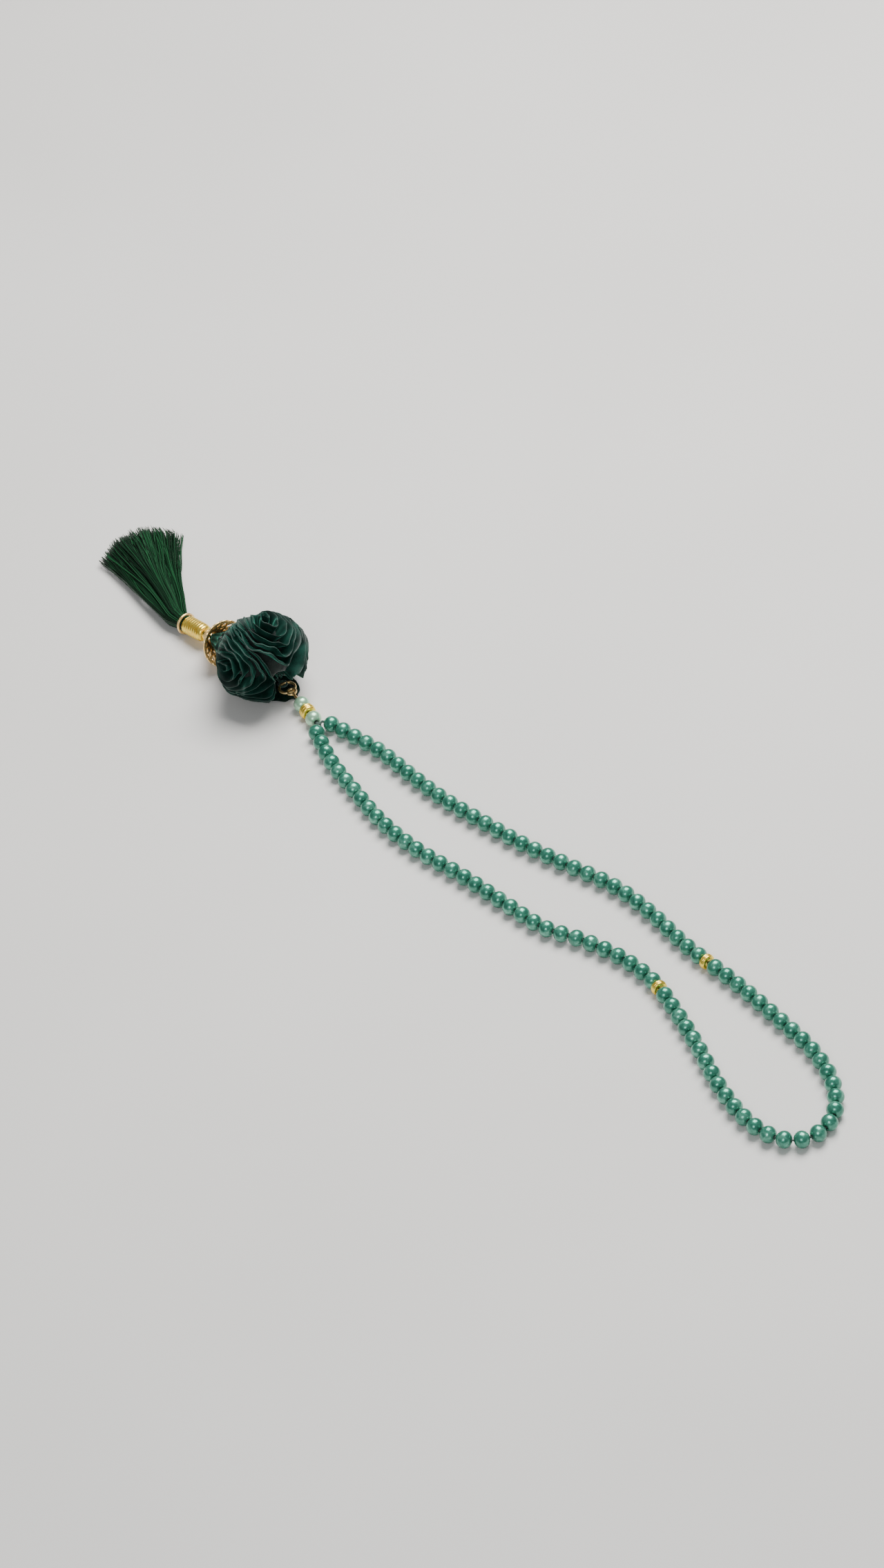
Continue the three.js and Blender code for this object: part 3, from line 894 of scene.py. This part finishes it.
def make_cap():
    """Cast filigree: a lattice of crossing wires, rings that tie them, and a lobed rim."""
    points, faces = [], []
    inward = -0.35 * MM
    rim_at, wire_share = 0.06, 0.88  # shares of the cap's length: where its rim is, how far its wires run
    wires, wire_steps, slant = 18, 22, 2.4
    for k in range(wires):
        for way in (1, -1):
            path = []
            for s in range(wire_steps + 1):
                share = rim_at + wire_share * s / wire_steps
                path.append(cap_point(share, TURN * (k + way * share * slant) / wires, inward))
            add_tube(points, faces, path, 0.48 * MM)
    ring_steps = 72
    for share, thick in ((rim_at, 0.5), (0.38, 0.36), (0.66, 0.4), (0.95, 0.6)):
        ring = [cap_point(share, TURN * s / ring_steps, inward) for s in range(ring_steps)]
        add_tube(points, faces, ring, thick * MM, closed=True)
    lobes, lobe_steps = 16, 12
    for k in range(lobes):
        lobe = []
        for s in range(lobe_steps + 1):
            turn = math.pi * s / lobe_steps
            share = rim_at - 0.07 * math.sin(turn)
            angle = TURN * (k - 0.5 * math.cos(turn)) / lobes
            lobe.append(cap_point(share, angle, inward * 0.6))
        add_tube(points, faces, lobe, 0.34 * MM)
    mesh = mesh_of("gold_filigree_cap", points, faces)
    new_piece("gold_filigree_cap", mesh, GOLD_WIRE, "filigree_cap", True, cap_place)


# ---- Tassel ----
tassel_place = looking_along(TASSEL_START, TASSEL_AXIS)


def make_barrel():
    """A gold barrel with bands of fine beading, open at its mouth."""
    hole, shoulder, inside = 1.3 * MM, 2.2 * MM, 2.95 * MM  # radii
    body_start = 0.8 * MM
    steps, steps_in_band = 48, 6
    profile = [(0.0, hole), (0.0, shoulder), (0.35 * MM, 2.75 * MM)]
    for k in range(steps + 1):
        along = body_start + (BARREL_LENGTH - body_start) * k / steps
        swell = 3.0 * MM + 0.42 * MM * math.sin(min(1.0, k / 12) * math.pi / 2)
        band = 0.07 * MM * math.cos(k * TURN / steps_in_band)
        profile.append((along, swell + band))
    profile += [(BARREL_LENGTH, inside), (2.4 * MM, inside), (0.9 * MM, shoulder), (body_start, hole)]
    mesh = turned_mesh("gold_barrel", profile, 48)
    new_piece("gold_barrel", mesh, GOLD, "tassel_barrel", True, tassel_place)
    ring = ring_path(Vector((TASSEL_RING_AT, 0, 0)), TASSEL_RING_RADIUS, Y, Z, 64)
    mesh = tube_mesh("gold_tassel_ring", ring, TASSEL_RING_TUBE, 16, closed=True)
    new_piece("gold_tassel_ring", mesh, GOLD_WIRE, "tassel_ring", True, tassel_place)


# The silk as it lies, in mm: one edge (x, y), the other edge (x, y), height of the middle, half thickness,
# and how far the middle runs ahead of the line between the edges.
SILK_SECTIONS = [
    (-150.0, -15.9, -149.8, -10.7, 4.1, 2.6, 0.0),
    (-156.2, -17.8, -155.0, -8.9, 3.9, 3.6, 0.4),
    (-164.5, -17.6, -162.9, -3.9, 3.7, 3.5, 1.0),
    (-174.8, -17.0, -172.0, 0.6, 3.3, 3.1, 2.0),
    (-186.0, -16.2, -181.0, 5.2, 2.9, 2.7, 3.8),
    (-197.0, -16.0, -189.6, 10.6, 2.4, 2.2, 6.0),
    (-205.2, -16.4, -195.6, 15.4, 2.0, 1.8, 8.4),
    (-208.0, -15.8, -198.2, 15.8, 1.6, 1.2, 10.3),
]
SILK_NECK_RADIUS = 2.1  # in mm, inside the barrel
SILK_NECK = (4.6, 10.4)  # where the neck starts and ends, in mm from the barrel's closed end
STRANDS = 1000
LOCKS = 50  # the strands cling together in locks
STRAND_RINGS = 24
STRAND_SIDES = 4
STRAND_RADIUS = 0.17 * MM


def silk_sections():
    """The sections of the silk from its start inside the barrel to its ends, in metres."""
    neck = SILK_NECK_RADIUS
    sections = []
    for distance in SILK_NECK:
        x, y, z = TASSEL_START / MM + TASSEL_AXIS * distance
        sections.append((x, y - neck, x, y + neck, z, neck, 0.0))
    return np.array(sections + SILK_SECTIONS) * MM


def silk_places(sections, run, distances, side, height):
    """Points of the fan at distances along it, side and height running from -1 to 1 across it."""
    left_x, left_y, right_x, right_y, level, thick, ahead = (
        np.interp(distances, run, column) for column in sections.T
    )
    across_x, across_y = (right_x - left_x) / 2, (right_y - left_y) / 2
    width = np.hypot(across_x, across_y)
    lead = ahead * (1 - side**2) / width
    x = (left_x + right_x) / 2 + across_x * side - across_y * lead
    y = (left_y + right_y) / 2 + across_y * side + across_x * lead
    return np.stack([x, y, level + height * (thick - STRAND_RADIUS)], axis=-1)


def make_silk():
    """Strands of floss in locks, each following its own line in the fan, with ragged ends."""
    rng = np.random.default_rng(7)
    sections = silk_sections()
    middles = (sections[:, 0:2] + sections[:, 2:4]) / 2
    run = np.concatenate([[0.0], np.cumsum(np.linalg.norm(np.diff(middles, axis=0), axis=1))])
    lock_turn = rng.uniform(0, TURN, LOCKS)
    lock_out = np.sqrt(rng.uniform(0, 1, LOCKS)) * 0.93
    lock_wave = rng.uniform(0, TURN, LOCKS)
    lock_sway = rng.normal(0, 0.1, LOCKS)
    lock_end = rng.uniform(0, 0.045, LOCKS)
    lock_shade = rng.normal(0.45, 0.13, LOCKS)
    places = np.zeros((STRANDS, STRAND_RINGS, 3))
    shade = np.zeros(STRANDS)
    for n in range(STRANDS):
        lock = n % LOCKS
        end = run[-1] * (1 - lock_end[lock] - 0.05 * rng.uniform(0, 1) ** 2)
        distances = np.linspace(0.0, end, STRAND_RINGS)
        share = distances / run[-1]
        loose = 0.3 - 0.2 * np.sin(np.clip(share * 1.15, 0, 1) * math.pi) ** 2
        own_turn, own_out = rng.uniform(0, TURN), math.sqrt(rng.uniform(0, 1))
        side = lock_out[lock] * math.cos(lock_turn[lock]) + own_out * math.cos(own_turn) * loose
        height = lock_out[lock] * math.sin(lock_turn[lock]) + own_out * math.sin(own_turn) * loose * 1.5
        sway = 0.07 * np.sin(share * 6 + lock_wave[lock]) + lock_sway[lock] * share
        own_sway = rng.normal(0, 0.04) * share**2 + 0.012 * np.sin(share * rng.uniform(14, 26) + own_turn)
        side = np.clip(side + (sway + own_sway) * share, -1.0, 1.0)
        reach = np.sqrt(np.maximum(0.02, 1 - side**2 * 0.9))
        places[n] = silk_places(sections, run, distances, side, np.clip(height, -reach, reach))
        shade[n] = np.clip(lock_shade[lock] + rng.normal(0, 0.25), 0, 1)
    places[:, :, 2] = np.maximum(places[:, :, 2], STRAND_RADIUS * 1.1)
    along = np.gradient(places, axis=1)
    along /= np.linalg.norm(along, axis=2, keepdims=True)
    side = np.cross(along, np.array([0.0, 0.0, 1.0]))
    side /= np.linalg.norm(side, axis=2, keepdims=True)
    up = np.cross(side, along)
    taper = np.ones(STRAND_RINGS)
    taper[-1] = 0.4
    corners = []
    for s in range(STRAND_SIDES):
        angle = TURN * (s + 0.5) / STRAND_SIDES
        around = side * math.cos(angle) + up * math.sin(angle)
        corners.append(places + around * STRAND_RADIUS * taper[None, :, None])
    points = np.stack(corners, axis=2).reshape(-1, 3)
    in_strand = STRAND_RINGS * STRAND_SIDES
    faces = []
    for n in range(STRANDS):
        start = n * in_strand
        faces += grid_faces(STRAND_RINGS, STRAND_SIDES, close_columns=True, start=start)
        faces += end_caps(in_strand, STRAND_SIDES, start)
    mesh = mesh_of("silk_strands", points, faces)
    attribute = mesh.attributes.new("shade", "FLOAT", "POINT")
    attribute.data.foreach_set("value", np.repeat(shade, in_strand).astype(np.float32))
    new_piece("silk_strands", mesh, SILK, "silk_tassel")


def make_binding():
    """The floss is whipped with its own thread inside the barrel."""
    turns, turn_steps = 7, 20
    start, length, radius = 5.7 * MM, 2.4 * MM, 2.58 * MM
    path = []
    for k in range(turns * turn_steps + 1):
        angle = TURN * k / turn_steps
        along = start + length * k / (turns * turn_steps)
        path.append(Vector((along, radius * math.cos(angle), radius * math.sin(angle))))
    mesh = tube_mesh("silk_binding", path, 0.17 * MM, 8)
    attribute = mesh.attributes.new("shade", "FLOAT", "POINT")
    attribute.data.foreach_set("value", np.full(len(mesh.vertices), 0.6, dtype=np.float32))
    new_piece("silk_binding", mesh, SILK, "tassel_binding", True, tassel_place)


make_camera()
make_lights()
make_floor()
make_beads()
make_bead_cord()
make_dividers()
make_head()
make_head_thread()
make_eye_and_ring()
make_flower_thread()
make_flower()
make_cap()
make_barrel()
make_silk()
make_binding()
